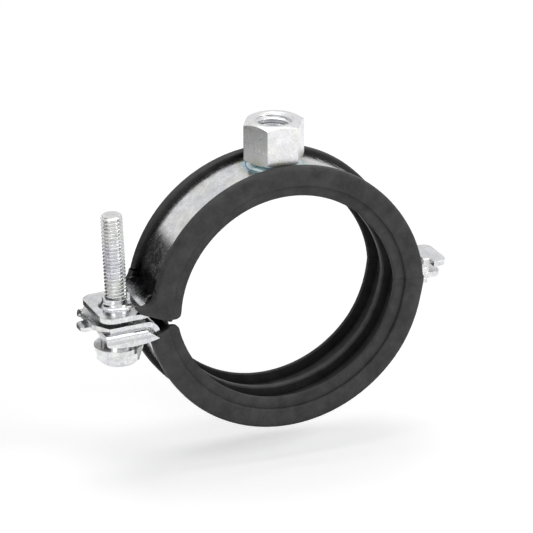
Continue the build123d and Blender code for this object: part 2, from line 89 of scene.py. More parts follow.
STRIP_SMOOTH_ANGLE = math.radians(44)
WELD_DISTANCE = 0.001 * MM
HANG_HEIGHT = 9.5 * MM
SEAM_SHIFT = 0.53 * MM
SHADER_SAMPLES = 6

log = logging.getLogger("clamp")
Colour = tuple[float, float, float]
Place = tuple[float, float, float]
Socket = bpy.types.NodeSocket
BLACK: Colour = (0.0, 0.0, 0.0)
WHITE: Colour = (1.0, 1.0, 1.0)


class Body(Enum):
    """The bodies of the frame that pieces ride on."""

    UPPER_HALF = "upper_half"
    LOWER_HALF = "lower_half"
    WASHER = "washer"
    SCREW = "screw"


class Grain(Enum):
    """Which way the fine lines of a surface run."""

    ALONG_STRIP = "along_strip"
    NONE = "none"


def rgba(colour: Colour) -> tuple[float, float, float, float]:
    """Gives a colour its alpha."""
    return (*colour, 1.0)


@dataclass(frozen=True)
class Clouding:
    """Settings of a cloud texture.

    Attributes:
        per_mm: How many spots there are to a millimetre.
        detail: Octaves of finer spots.
        rough: How strong the finer spots are.
        distortion: How far the spots are drawn out.
    """

    per_mm: float
    detail: float = 2.0
    rough: float = 0.5
    distortion: float = 0.0


class NodeSheet:
    """A node tree that is written one node at a time."""

    def __init__(self, tree: bpy.types.NodeTree) -> None:
        """Starts on a tree.

        Args:
            tree: The tree of a material, a world or a Geometry Nodes group.
        """
        self.tree = tree

    def add(self, kind: str, inputs: dict | None = None, **settings: object) -> bpy.types.Node:
        """Adds a node.

        Args:
            kind: The node's type, as bpy names it.
            inputs: What goes in each socket, by name or index: another socket or a constant.
            **settings: The node's own properties.

        Returns:
            The new node.
        """
        node = self.tree.nodes.new(kind)
        for name, value in settings.items():
            setattr(node, name, value)
        for key, value in (inputs or {}).items():
            self.feed(node.inputs[key], value)
        return node

    def feed(self, socket: Socket, value: object) -> None:
        """Links a socket to another, or sets its constant.

        Args:
            socket: The socket that takes the value.
            value: Another socket or a constant.
        """
        if isinstance(value, Socket):
            self.tree.links.new(value, socket)
        else:
            socket.default_value = value

    def math(self, operation: str, a: object, b: object = 0.0, clamp: bool = False) -> Socket:
        """Adds one step of arithmetic and returns its result."""
        return self.add("ShaderNodeMath", {0: a, 1: b}, operation=operation, use_clamp=clamp).outputs[0]

    def weigh(self, *parts: tuple[Socket, float]) -> Socket:
        """Adds values up, each by its share.

        Args:
            *parts: Pairs of a value and its share.

        Returns:
            The sum.
        """
        weighed = [self.math("MULTIPLY", value, share) for value, share in parts]
        total = weighed[0]
        for part in weighed[1:]:
            total = self.math("ADD", total, part)
        return total

    def spread(self, value: object, low: float, high: float, to_low: float, to_high: float) -> Socket:
        """Maps a value from one range to another, held at both ends."""
        inputs = {"Value": value, "From Min": low, "From Max": high, "To Min": to_low, "To Max": to_high}
        return self.add("ShaderNodeMapRange", inputs).outputs["Result"]

    def blend(self, factor: object, a: object, b: object, mode: str = "MIX") -> Socket:
        """Mixes two colours.

        Args:
            factor: How much of the second one there is.
            a: The first colour.
            b: The second colour.
            mode: How they mix.

        Returns:
            The mixed colour.
        """
        node = self.add("ShaderNodeMix", data_type="RGBA", blend_type=mode)
        for name, value in (("Factor", factor), ("A", a), ("B", b)):
            self.feed(node.inputs[name], value)
        return node.outputs["Result"]

    def grey(self, value: Socket) -> Socket:
        """Turns a value into a grey and returns it."""
        return self.add("ShaderNodeCombineColor", {channel: value for channel in range(3)}).outputs[0]

    def ramp(self, value: Socket, *stops: tuple[float, Colour]) -> Socket:
        """Turns a value from 0 to 1 into a colour.

        Args:
            value: The value.
            *stops: Pairs of a position and its colour, in rising order.

        Returns:
            The colour.
        """
        node = self.add("ShaderNodeValToRGB", {0: value})
        tones = node.color_ramp.elements
        tones[0].position, tones[1].position = stops[0][0], stops[-1][0]
        for position, _ in stops[1:-1]:
            tones.new(position)
        for tone, (_, colour) in zip(tones, stops):
            tone.color = rgba(colour)
        return node.outputs[0]

    def noise(self, place: Socket, clouding: Clouding) -> Socket:
        """Adds a cloud texture.

        Args:
            place: Coordinates in millimetres.
            clouding: The texture's settings.

        Returns:
            The texture's value, from 0 to 1.
        """
        inputs = {
            "Vector": place,
            "Scale": clouding.per_mm,
            "Detail": clouding.detail,
            "Roughness": clouding.rough,
            "Distortion": clouding.distortion,
        }
        return self.add("ShaderNodeTexNoise", inputs).outputs[0]


class SurfaceSheet(NodeSheet):
    """A material's nodes, with the coordinates that the clamp's finishes share."""

    RING_RADIUS_MM = 37.0

    def __init__(self, name: str) -> None:
        """Makes an empty material.

        Args:
            name: The material's name.
        """
        self.material = bpy.data.materials.new(name)
        self.material.use_nodes = True
        super().__init__(self.material.node_tree)
        self.tree.nodes.clear()
        self.shader = self.add("ShaderNodeBsdfPrincipled")
        self.add("ShaderNodeOutputMaterial", {"Surface": self.shader.outputs[0]})
        inputs = {
            "Vector": self.add("ShaderNodeTexCoord").outputs["Object"],
            "Scale": (1 / MM, 1 / MM, 1 / MM),
        }
        self.place = self.add("ShaderNodeMapping", inputs).outputs[0]

    def round_the_pipe(self, along: float, across: float, radial: float) -> Socket:
        """Coordinates that follow the ring round the pipe.

        Args:
            along: Spots to a millimetre round the ring.
            across: Spots to a millimetre along the pipe.
            radial: Spots to a millimetre outwards.

        Returns:
            The coordinates, ready for a texture of scale 1.
        """
        axes = self.add("ShaderNodeSeparateXYZ", {0: self.place}).outputs
        angle = self.math("ARCTAN2", axes[2], axes[0])
        squares = [self.math("MULTIPLY", axis, axis) for axis in (axes[0], axes[2])]
        radius = self.math("SQRT", self.math("ADD", *squares))
        inputs = {
            0: self.math("MULTIPLY", angle, self.RING_RADIUS_MM * along),
            1: self.math("MULTIPLY", axes[1], across),
            2: self.math("MULTIPLY", radius, radial),
        }
        return self.add("ShaderNodeCombineXYZ", inputs).outputs[0]

    def bumped(self, height: Socket, depth: float, edge: float) -> Socket:
        """Gives the surface its relief and its softened edges.

        Args:
            height: The relief, from 0 to 1.
            depth: Depth of the relief, in metres.
            edge: Radius that the light sees on sharp edges, in metres.

        Returns:
            The normal.
        """
        bevel = self.add("ShaderNodeBevel", {"Radius": edge}, samples=SHADER_SAMPLES)
        inputs = {"Height": height, "Distance": depth, "Normal": bevel.outputs[0]}
        return self.add("ShaderNodeBump", inputs).outputs[0]


@dataclass(frozen=True)
class ZincPlate:
    """Bright zinc plate: mirror-like, clouded by handling, with a faint lilac and straw tint.

    Attributes:
        name: The material's name.
        bright: Colour where the plate is clean.
        dull: Colour where it is clouded.
        clouds_per_mm: How many clouds there are to a millimetre.
        gloss: Roughness where it is clean.
        haze: Roughness where it is clouded.
        ripple: Depth of the waviness, in metres.
        grit: Share of the light that the dark grains between the zinc crystals take.
        edge: Radius that the light sees on sharp edges, in metres.
        grain: Which way the rolling lines run.
        heat: Height and reach in millimetres of a weld's heat tint round the Z axis, or None.
        bend_shade: X, Z and reach in millimetres of a bend that gets painted shade, a darker colour, or
            None.
    """

    name: str
    bright: Colour = (0.88, 0.88, 0.885)
    dull: Colour = (0.62, 0.625, 0.635)
    clouds_per_mm: float = 0.3
    gloss: float = 0.12
    haze: float = 0.3
    ripple: float = 0.03 * MM
    grit: float = 0.12
    edge: float = 0.2 * MM
    grain: Grain = Grain.NONE
    heat: tuple[float, float] | None = None
    bend_shade: tuple[float, float, float] | None = None

    SPOTS = Clouding(1.6, 3.0, 0.6)
    CRYSTALS = Clouding(5.0, 2.0, 0.7)
    TINT_CLOUDS = Clouding(0.16)
    ROLLED = Clouding(1.0, 2.0, 0.7)
    ROLLED_PER_MM = (0.05, 9.0, 0.05)
    ROLLED_RELIEF = 0.06
    ROLLED_ROUGHNESS = (0.3, 0.7, -0.05, 0.07)
    CLOUD_WEAR, SPOT_WEAR = 0.65, 0.35
    WEAR_RANGE = (0.38, 0.64)
    SPOT_RELIEF, CRYSTAL_RELIEF = 0.18, 0.05
    GRAIN_RANGE = (0.4, 0.6)
    TINTS = ((0.34, (0.95, 0.95, 1.0)), (0.5, (0.99, 0.99, 0.99)), (0.66, (0.99, 1.0, 0.95)))
    TINT_STRENGTH = 0.75
    HEAT_WANDER, HEAT_WANDER_DEPTH = Clouding(0.6), 1.6
    HEAT_INSIDE, HEAT_OUTSIDE = 2.4, 1.2
    HEAT_RINGS = (
        (0.0, (0.36, 0.52, 0.66)), (0.4, (0.58, 0.78, 0.86)), (0.7, (0.86, 0.84, 0.76)), (1.0, WHITE))
    BEND_SHADE_PATCHES = 4.0
    BEND_SHADE_FADE = (1.0, 3.6)
    BEND_SHADE_DARKEST = 0.07

    def material(self) -> bpy.types.Material:
        """Builds the material.

        Returns:
            The material.
        """
        sheet = SurfaceSheet(self.name)
        clouds = sheet.noise(sheet.place, Clouding(self.clouds_per_mm, 4.0, 0.6, 0.6))
        spots = sheet.noise(sheet.place, self.SPOTS)
        crystals = sheet.noise(sheet.place, self.CRYSTALS)
        wear = sheet.weigh((clouds, self.CLOUD_WEAR), (spots, self.SPOT_WEAR))
        worn = sheet.spread(wear, *self.WEAR_RANGE, 0.0, 1.0)
        roughness = sheet.spread(worn, 0.0, 1.0, self.gloss, self.haze)
        relief = [(clouds, 1.0), (spots, self.SPOT_RELIEF), (crystals, self.CRYSTAL_RELIEF)]
        if self.grain is Grain.ALONG_STRIP:
            lines = sheet.noise(sheet.round_the_pipe(*self.ROLLED_PER_MM), self.ROLLED)
            relief.append((lines, self.ROLLED_RELIEF))
            roughness = sheet.math("ADD", roughness, sheet.spread(lines, *self.ROLLED_ROUGHNESS))
        colour = self._plate_colour(sheet, worn, crystals)
        if self.heat:
            colour = self._heat_tint(sheet, colour)
        # Painted shade: a bend along the pipe is darkened in the colour.
        if self.bend_shade:
            colour = self._paint_bend_shade(sheet, colour, spots)
        shader = sheet.shader
        shader.inputs["Metallic"].default_value = 1.0
        sheet.feed(shader.inputs["Base Color"], colour)
        sheet.feed(shader.inputs["Roughness"], roughness)
        sheet.feed(shader.inputs["Normal"], sheet.bumped(sheet.weigh(*relief), self.ripple, self.edge))
        return sheet.material

    def _plate_colour(self, sheet: SurfaceSheet, worn: Socket, crystals: Socket) -> Socket:
        """Mixes the plate's own colour.

        Args:
            sheet: The material's nodes.
            worn: How clouded the plate is, from 0 to 1.
            crystals: The zinc crystals.

        Returns:
            The colour.
        """
        colour = sheet.blend(worn, rgba(self.bright), rgba(self.dull))
        tint = sheet.ramp(sheet.noise(sheet.place, self.TINT_CLOUDS), *self.TINTS)
        colour = sheet.blend(self.TINT_STRENGTH, colour, tint, "MULTIPLY")
        grains = sheet.grey(sheet.spread(crystals, *self.GRAIN_RANGE, 1.0 - self.grit, 1.0))
        return sheet.blend(1.0, colour, grains, "MULTIPLY")

    def _heat_tint(self, sheet: SurfaceSheet, colour: Socket) -> Socket:
        """Lays the blue and straw rings of a weld over a colour.

        Args:
            sheet: The material's nodes.
            colour: The plate's colour.

        Returns:
            The colour with the rings.
        """
        level, reach = self.heat
        centre = {0: sheet.place, 1: (0.0, 0.0, level)}
        away = sheet.add("ShaderNodeVectorMath", centre, operation="DISTANCE").outputs["Value"]
        wander = sheet.math("MULTIPLY", sheet.noise(sheet.place, self.HEAT_WANDER), self.HEAT_WANDER_DEPTH)
        distance = sheet.math("ADD", away, wander)
        ring = sheet.spread(distance, reach - self.HEAT_INSIDE, reach + self.HEAT_OUTSIDE, 0.0, 1.0)
        return sheet.blend(1.0, colour, sheet.ramp(ring, *self.HEAT_RINGS), "MULTIPLY")

    def _paint_bend_shade(self, sheet: SurfaceSheet, colour: Socket, spots: Socket) -> Socket:
        """Paints shade onto a bend that runs along the pipe, as a darker colour.

        Args:
            sheet: The material's nodes.
            colour: The plate's colour.
            spots: The plate's spots, which break the painted shade up.

        Returns:
            The colour with the painted shade.
        """
        x, z, reach = self.bend_shade
        flat = sheet.add("ShaderNodeVectorMath", {0: sheet.place, 1: (1.0, 0.0, 1.0)}, operation="MULTIPLY")
        line = {0: flat.outputs[0], 1: (x, 0.0, z)}
        away = sheet.add("ShaderNodeVectorMath", line, operation="DISTANCE").outputs["Value"]
        patchy = sheet.math("ADD", sheet.math("MULTIPLY", spots, self.BEND_SHADE_PATCHES), away)
        start, end = (reach + fade for fade in self.BEND_SHADE_FADE)
        # Painted shade: the colour fades to black towards the bend.
        clean = sheet.spread(patchy, start, end, self.BEND_SHADE_DARKEST, 1.0)
        return sheet.blend(clean, rgba(BLACK), colour)


@dataclass(frozen=True)
class ExtrudedRubber:
    """Black EPDM, pushed through a die: matt, with fine lines round the ring, pale dust and painted shade
    in its hollows.

    Attributes:
        name: The material's name.
        tone: Colour of the body.
        bloom: Colour where the surface has bloomed.
        dust: Colour of the dust specks.
        edge: Radius that the light sees on the corners, in metres.
        relief: Depth of the fine lines, in metres.
        shade_reach: How far off a wall still darkens a face with painted shade, in metres.
        sheen: Specular level where no painted shade darkens the face.
    """

    name: str
    tone: Colour = (0.024, 0.024, 0.025)
    bloom: Colour = (0.076, 0.076, 0.075)
    dust: Colour = (0.16, 0.16, 0.15)
    edge: float = 0.3 * MM
    relief: float = 0.06 * MM
    shade_reach: float = 40 * MM
    sheen: float = 0.34

    CLOUDS = Clouding(0.25, 4.0, 0.6)
    PORES = Clouding(5.0, 3.0, 0.7)
    DIE_LINES = Clouding(1.0, 3.0, 0.65)
    DIE_LINES_PER_MM = (0.03, 3.2, 3.2)
    CLOUD_BLOOM, PORE_BLOOM = 0.55, 0.45
    BLOOM_RANGE = (0.36, 0.66)
    LINE_RELIEF, PORE_RELIEF = 0.7, 0.3
    ROUGHNESS = (0.3, 0.7, 0.50, 0.66)
    SPECKS_PER_MM = 0.8
    SPECK_SIZE = (0.035, 0.085)
    SPECK_RARITY = 0.72
    SPECK_STRENGTH = 0.5
    SHADE_RANGE = (0.2, 0.68)
    SHADE_LIGHT = 0.08

    def material(self) -> bpy.types.Material:
        """Builds the material.

        Returns:
            The material.
        """
        sheet = SurfaceSheet(self.name)
        clouds = sheet.noise(sheet.place, self.CLOUDS)
        pores = sheet.noise(sheet.place, self.PORES)
        lines = sheet.noise(sheet.round_the_pipe(*self.DIE_LINES_PER_MM), self.DIE_LINES)
        bloom = sheet.weigh((clouds, self.CLOUD_BLOOM), (pores, self.PORE_BLOOM))
        bloom = sheet.spread(bloom, *self.BLOOM_RANGE, 0.0, 1.0)
        colour = sheet.blend(bloom, rgba(self.tone), rgba(self.bloom))
        colour = sheet.blend(self._dusted(sheet), colour, rgba(self.dust))
        # Painted shade: ambient occlusion darkens the colour inside the ring and between the ribs.
        shaded = {"Distance": self.shade_reach}
        air = sheet.add("ShaderNodeAmbientOcclusion", shaded, samples=SHADER_SAMPLES).outputs["AO"]
        shade = sheet.spread(air, *self.SHADE_RANGE, self.SHADE_LIGHT, 1.0)
        colour = sheet.blend(shade, rgba(BLACK), colour)
        relief = sheet.weigh((lines, self.LINE_RELIEF), (pores, self.PORE_RELIEF))
        shader = sheet.shader
        # Painted shade also lowers the specular level in the hollows.
        sheet.feed(shader.inputs["Specular IOR Level"], sheet.math("MULTIPLY", shade, self.sheen))
        sheet.feed(shader.inputs["Base Color"], colour)
        sheet.feed(shader.inputs["Roughness"], sheet.spread(pores, *self.ROUGHNESS))
        sheet.feed(shader.inputs["Normal"], sheet.bumped(relief, self.relief, self.edge))
        return sheet.material

    def _dusted(self, sheet: SurfaceSheet) -> Socket:
        """Scatters the dust specks.

        Args:
            sheet: The material's nodes.

        Returns:
            How much dust lies at each point.
        """
        inputs = {"Vector": sheet.place, "Scale": self.SPECKS_PER_MM, "Randomness": 1.0}
        specks = sheet.add("ShaderNodeTexVoronoi", inputs).outputs
        speck = sheet.spread(specks["Distance"], *self.SPECK_SIZE, 1.0, 0.0)
        chance = sheet.add("ShaderNodeSeparateColor", {0: specks["Color"]}).outputs[0]
        speck = sheet.math("MULTIPLY", speck, sheet.math("GREATER_THAN", chance, self.SPECK_RARITY))
        return sheet.math("MULTIPLY", speck, self.SPECK_STRENGTH)


@dataclass(frozen=True)
class PaleFloor:
    """The studio's white floor.

    Attributes:
        colour: Its colour.
        roughness: Its roughness.
        sheen: Its specular level.
        glow: How much whiter it is to the eye and in reflections than under the lamps.
    """

    colour: Colour = (0.93, 0.93, 0.93)
    roughness: float = 0.7
    sheen: float = 0.1
    glow: float = 0.41

    def material(self) -> bpy.types.Material:
        """Builds the material.

        Returns:
            The material.
        """
        sheet = SurfaceSheet("pale_floor")
        inputs = sheet.shader.inputs
        inputs["Base Color"].default_value = rgba(self.colour)
        inputs["Roughness"].default_value = self.roughness
        inputs["Specular IOR Level"].default_value = self.sheen
        inputs["Emission Color"].default_value = rgba(WHITE)
        path = sheet.add("ShaderNodeLightPath").outputs
        seen = sheet.math("MAXIMUM", path["Is Camera Ray"], path["Is Glossy Ray"])
        sheet.feed(inputs["Emission Strength"], sheet.math("MULTIPLY", seen, self.glow))
        return sheet.material


@dataclass(frozen=True)
class CardBlack:
    """The dark cards' matt black.

    Attributes:
        colour: Its colour.
        roughness: Its roughness.
    """

    colour: Colour = (0.02, 0.02, 0.02)
    roughness: float = 0.9

    def material(self) -> bpy.types.Material:
        """Builds the material.

        Returns:
            The material.
        """
        sheet = SurfaceSheet("card_black")
        sheet.shader.inputs["Base Color"].default_value = rgba(self.colour)
        sheet.shader.inputs["Roughness"].default_value = self.roughness
        return sheet.material


@dataclass(frozen=True)
class ThreadForm:
    """A metric thread.

    Attributes:
        crest: Radius over the crests.
        core: Radius at the roots.
        pitch: Rise of one turn.
        length: Length of the threaded bar.
        lead_in: Height and depth of the chamfer at the far end.
        crest_flat: Share of the pitch that is flat at the crests.
        root_flat: Share of the pitch that is flat at the roots.
        around: Points round one turn.
        rows_per_turn: Rows of points along one turn.
    """

    crest: float
    core: float
    pitch: float
    length: float
    lead_in: float = 0.0
    crest_flat: float = 0.14
    root_flat: float = 0.20
    around: int = 48
    rows_per_turn: int = 12


class ThreadRoller:
    """Geometry Nodes that roll a bar with a right-hand thread, standing on the XY plane."""

    SIZES = ("Crest Radius", "Core Radius", "Pitch", "Length", "Lead In", "Crest Flat", "Root Flat")
    COUNTS = ("Around", "Along")

    def __init__(self) -> None:
        """Builds the tree with its named inputs."""
        self.tree = bpy.data.node_groups.new("thread_roller", "GeometryNodeTree")
        face = self.tree.interface
        kinds = dict.fromkeys(self.SIZES, "NodeSocketFloat")
        kinds |= dict.fromkeys(self.COUNTS, "NodeSocketInt")
        kinds["Finish"] = "NodeSocketMaterial"
        self.ids = {
            name: face.new_socket(name, in_out="INPUT", socket_type=kind).identifier
            for name, kind in kinds.items()
        }
        face.new_socket("Geometry", in_out="OUTPUT", socket_type="NodeSocketGeometry")
        self._write()

    def _write(self) -> None:
        """Writes the nodes: a sheet of points, rolled up and pressed to the thread's form."""
        sheet = NodeSheet(self.tree)
        given = sheet.add("NodeGroupInput").outputs
        columns = sheet.math("ADD", given["Around"], 1.0)
        rows = sheet.math("ADD", given["Along"], 1.0)
        size = {"Size X": 1.0, "Size Y": 1.0, "Vertices X": columns, "Vertices Y": rows}
        grid = sheet.add("GeometryNodeMeshGrid", size)
        position = sheet.add("GeometryNodeInputPosition").outputs[0]
        axes = sheet.add("ShaderNodeSeparateXYZ", {0: position}).outputs
        turn = sheet.math("ADD", axes[0], 0.5)
        row = sheet.math("MULTIPLY", sheet.math("ADD", axes[1], 0.5), given["Along"])
        spans = sheet.math("SUBTRACT", given["Along"], 2.0)
        share = sheet.math("DIVIDE", sheet.math("SUBTRACT", row, 1.0), spans, clamp=True)
        level = sheet.math("MULTIPLY", share, given["Length"])
        turns = sheet.math("DIVIDE", level, given["Pitch"])
        phase = sheet.math("FRACT", sheet.math("SUBTRACT", turns, turn))
        ridge = sheet.math("ABSOLUTE", sheet.math("SUBTRACT", sheet.math("MULTIPLY", phase, 2.0), 1.0))
        below_crest = sheet.math("SUBTRACT", 1.0, given["Crest Flat"])
        flanks = sheet.math("SUBTRACT", below_crest, given["Root Flat"])
        above_root = sheet.math("SUBTRACT", ridge, given["Root Flat"])
        lift = sheet.math("DIVIDE", above_root, flanks, clamp=True)
        depth = sheet.math("SUBTRACT", given["Crest Radius"], given["Core Radius"])
        radius = sheet.math("ADD", given["Core Radius"], sheet.math("MULTIPLY", depth, lift))
        left = sheet.math("SUBTRACT", given["Length"], level)
        tip = sheet.math("SUBTRACT", given["Crest Radius"], given["Lead In"])
        radius = sheet.math("MINIMUM", radius, sheet.math("ADD", tip, left))
        after_foot = sheet.math("GREATER_THAN", row, 0.5)
        before_end = sheet.math("LESS_THAN", row, sheet.math("SUBTRACT", given["Along"], 0.5))
        open_rows = sheet.math("MULTIPLY", after_foot, before_end)
        radius = sheet.math("MULTIPLY", radius, open_rows)
        angle = sheet.math("MULTIPLY", turn, math.tau)
        inputs = {
            0: sheet.math("MULTIPLY", radius, sheet.math("COSINE", angle)),
            1: sheet.math("MULTIPLY", radius, sheet.math("SINE", angle)),
            2: level,
        }
        place = sheet.add("ShaderNodeCombineXYZ", inputs).outputs[0]
        rolled = sheet.add("GeometryNodeSetPosition", {"Geometry": grid.outputs[0], "Position": place})
        weld = {"Geometry": rolled.outputs[0], "Distance": WELD_DISTANCE}
        closed = sheet.add("GeometryNodeMergeByDistance", weld)
        real = sheet.add("GeometryNodeRealizeInstances", {"Geometry": closed.outputs[0]})
        finish = {"Geometry": real.outputs[0], "Material": given["Finish"]}
        dressed = sheet.add("GeometryNodeSetMaterial", finish)
        sheet.add("NodeGroupOutput", {0: dressed.outputs[0]})

    def roll(self, name: str, form: ThreadForm, finish: bpy.types.Material) -> bpy.types.Object:
        """Rolls one bar.

        Args:
            name: The object's name.
            form: The thread's sizes.
            finish: What the bar is made of.

        Returns:
            An object with a plain mesh, its foot on the XY plane and its axis on Z.
        """
        bar = bpy.data.objects.new(name, bpy.data.meshes.new(name))
        bpy.context.scene.collection.objects.link(bar)
        modifier = bar.modifiers.new("thread", "NODES")
        modifier.node_group = self.tree
        along = round(form.length / form.pitch * form.rows_per_turn) + 2
        sizes = (form.crest, form.core, form.pitch, form.length, form.lead_in)
        flats = (form.crest_flat, form.root_flat)
        for key, value in zip(self.SIZES + self.COUNTS, sizes + flats + (form.around, along)):
            modifier[self.ids[key]] = value
        modifier[self.ids["Finish"]] = finish
        settle(bar)
        outward(bar.data)
        return bar


def ease(share: float) -> float:
    """Turns an even rise from 0 to 1 into one that starts and stops gently."""
    return share * share * (3.0 - 2.0 * share)


def settle(piece: bpy.types.Object) -> None:
    """Turns a piece's modifiers into its own plain mesh.

    Args:
        piece: The piece.
    """
    bpy.context.view_layer.update()
    solid = piece.evaluated_get(bpy.context.evaluated_depsgraph_get())
    mesh = bpy.data.meshes.new_from_object(solid)
    piece.modifiers.clear()
    piece.data = mesh
    mesh.name = piece.name


def outward(mesh: bpy.types.Mesh) -> None:
    """Turns a closed mesh's faces outwards.

    Args:
        mesh: The mesh.
    """
    work = bmesh.new()
    work.from_mesh(mesh)
    bmesh.ops.recalc_face_normals(work, faces=work.faces)
    if work.calc_volume(signed=True) < 0:
        bmesh.ops.reverse_faces(work, faces=work.faces)
    work.to_mesh(mesh)
    work.free()


def soften(mesh: bpy.types.Mesh, angle: float) -> None:
    """Shades a mesh smooth, apart from edges sharper than the angle."""
    mesh.shade_smooth()
    mesh.set_sharp_from_angle(angle=angle)


def dress(piece: bpy.types.Object, finish: bpy.types.Material) -> None:
    """Gives a piece one finish all over."""
    piece.data.materials.clear()
    piece.data.materials.append(finish)


def welded_copy(node: bpy.types.Object, name: str) -> bpy.types.Object:
    """Copies a frame node as one closed mesh.

    Args:
        node: The node's object.
        name: The copy's name.

    Returns:
        The copy, with its loose triangles joined.
    """
    mesh = node.data.copy()
    copy = bpy.data.objects.new(name, mesh)
    mesh.name = name
    bpy.context.scene.collection.objects.link(copy)
    work = bmesh.new()
    work.from_mesh(mesh)
    bmesh.ops.remove_doubles(work, verts=work.verts, dist=WELD_DISTANCE)
    work.to_mesh(mesh)
    work.free()
    if "custom_normal" in mesh.attributes:
        mesh.attributes.remove(mesh.attributes["custom_normal"])
    return copy


def show(piece: bpy.types.Object, body: Body, slot: str, *stands_for: str,
         smooth: float = SMOOTH_ANGLE) -> None:
    """Hands a finished piece to the frame.

    Args:
        piece: The piece.
        body: The body that carries it.
        slot: Not used.
        *stands_for: The nodes that it is shown in place of.
        smooth: The angle from which an edge stays sharp.
    """
    soften(piece.data, smooth)
    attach(piece, body.value)
    if stands_for:
        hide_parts(*stands_for)
    log.info("%s: %d faces, rides on %s", piece.name, len(piece.data.polygons), body.value)


@dataclass
class RingHalf:
    """Half of the ring: a strip of plated steel in its rubber lining.

    Attributes:
        name: The half's name in the frame's nodes.
        body: The body that carries it.
        steel: Finish of the strip.
        rubber: Finish of the lining.
        seam_shift: How far its end at the hinge is drawn out, so that the linings run on smoothly.
    """

    name: str
    body: Body
    steel: ZincPlate
    rubber: ExtrudedRubber
    seam_shift: float

    SEAM_REACH = math.radians(38)
    SEAM_LEVEL = 0.8 * MM
    PLATE_START = 39.2 * MM
    PLATE_FREE = 41.0 * MM
    SEAM_HALF = 0.06 * MM
    SEAM_GAP = 0.012 * MM

    def build(self, nodes: dict[str, bpy.types.Object]) -> None:
        """Makes both pieces from the frame's nodes.

        Args:
            nodes: The frame's nodes by name.
        """
        parts = (
            ("band", "zinc_strip", self.steel, STRIP_SMOOTH_ANGLE),
            ("lining", "lining_rubber", self.rubber, SMOOTH_ANGLE),
        )
        for part, slot, finish, smooth in parts:
            node = f"{self.name}_{part}"
            piece = welded_copy(nodes[node], f"{node}_piece")
            self._ease_seam(piece.data)
            dress(piece, finish.material())
            show(piece, self.body, slot, node, smooth=smooth)

    def _ease_seam(self, mesh: bpy.types.Mesh) -> None:
        """Draws the ring's end at the hinge out or in, fading round the ring and before the plates.

        Args:
            mesh: The mesh of the strip or its lining.
        """
        for vertex in mesh.vertices:
            x, _, z = vertex.co
            away = math.atan2(abs(z - self.SEAM_LEVEL), x) / self.SEAM_REACH
            if x <= 0.0 or away >= 1.0:
                continue
            if abs(z - self.SEAM_LEVEL) < self.SEAM_HALF:
                vertex.co.z = self.SEAM_LEVEL + math.copysign(self.SEAM_GAP, z - self.SEAM_LEVEL)
            free = (self.PLATE_FREE - x) / (self.PLATE_FREE - self.PLATE_START)
            vertex.co.x += self.seam_shift * (1.0 - ease(away)) * ease(min(max(free, 0.0), 1.0))


@dataclass
class ConnectionNut:
    """The welded nut, with its thread cut.

    Attributes:
        finish: Finish of the nut.
        below: Where the tap starts, on the bore's floor.
        thread: Form of the rod's thread, M10.
    """

    finish: ZincPlate
    below: float = 36.25 * MM
    thread: ThreadForm = field(default_factory=lambda: ThreadForm(
        crest=5.0 * MM, core=4.24 * MM, pitch=1.5 * MM, length=12.75 * MM, around=72, rows_per_turn=14))

    def build(self, nodes: dict[str, bpy.types.Object], roller: ThreadRoller) -> None:
        """Cuts the thread into a copy of the frame's nut.

        Args:
            nodes: The frame's nodes by name.
            roller: Makes the tap.
        """
        nut = welded_copy(nodes["connection_nut"], "connection_nut_piece")
        finish = self.finish.material()
        dress(nut, finish)
        tap = roller.roll("rod_tap", self.thread, finish)
        tap.data.transform(Matrix.Translation((0.0, 0.0, self.below)))
        cut = nut.modifiers.new("cut_thread", "BOOLEAN")
        cut.operation, cut.solver, cut.object = "DIFFERENCE", "EXACT", tap
        settle(nut)
        bpy.data.objects.remove(tap)
        show(nut, Body.UPPER_HALF, "zinc_nut", "connection_nut")


@dataclass
class ClosingScrew:
    """The M6 closing screw: a rolled thread on the frame's slotted head.

    Attributes:
        finish: Finish of the head.
        thread_finish: Finish of the threaded shank.
        place: Where its axis crosses the closing plane.
        axis: Its direction, head to tip.
        under_head: Height of the head's seat on the axis.
        over_seat: How far over the seat the head is cut from the CAD's shank.
        root_in_head: How deep the threaded shank is rooted in the head.
        thread: Form of its thread.
    """

    finish: ZincPlate
    thread_finish: ZincPlate
    place: Vector
    axis: Vector
    under_head: float = -9.2 * MM
    over_seat: float = 0.02 * MM
    root_in_head: float = 0.6 * MM
    thread: ThreadForm = field(default_factory=lambda: ThreadForm(
        crest=2.95 * MM, core=2.42 * MM, pitch=1.0 * MM, length=37.4 * MM, lead_in=0.55 * MM))

    def build(self, nodes: dict[str, bpy.types.Object], roller: ThreadRoller) -> None:
        """Makes the head and the threaded shank.

        Args:
            nodes: The frame's nodes by name.
            roller: Rolls the thread.
        """
        lean = Vector((0, 0, 1)).rotation_difference(self.axis).to_matrix().to_4x4()
        stand = Matrix.Translation(self.place) @ lean
        head = welded_copy(nodes["closing_screw"], "screw_head_piece")
        work = bmesh.new()
        work.from_mesh(head.data)
        seat = self.place + self.axis * (self.under_head + self.over_seat)
        whole = work.verts[:] + work.edges[:] + work.faces[:]
        cut = bmesh.ops.bisect_plane(work, geom=whole, plane_co=seat, plane_no=self.axis, clear_outer=True)
        rim = [edge for edge in cut["geom_cut"] if isinstance(edge, bmesh.types.BMEdge)]
        bmesh.ops.contextual_create(work, geom=rim)
        work.to_mesh(head.data)
        work.free()
        dress(head, self.finish.material())
        shank = roller.roll("screw_thread_piece", self.thread, self.thread_finish.material())
        foot = Matrix.Translation((0.0, 0.0, self.under_head - self.root_in_head))
        shank.data.transform(stand @ foot)
        show(head, Body.SCREW, "zinc_screw", "closing_screw")
        show(shank, Body.SCREW, "zinc_screw")


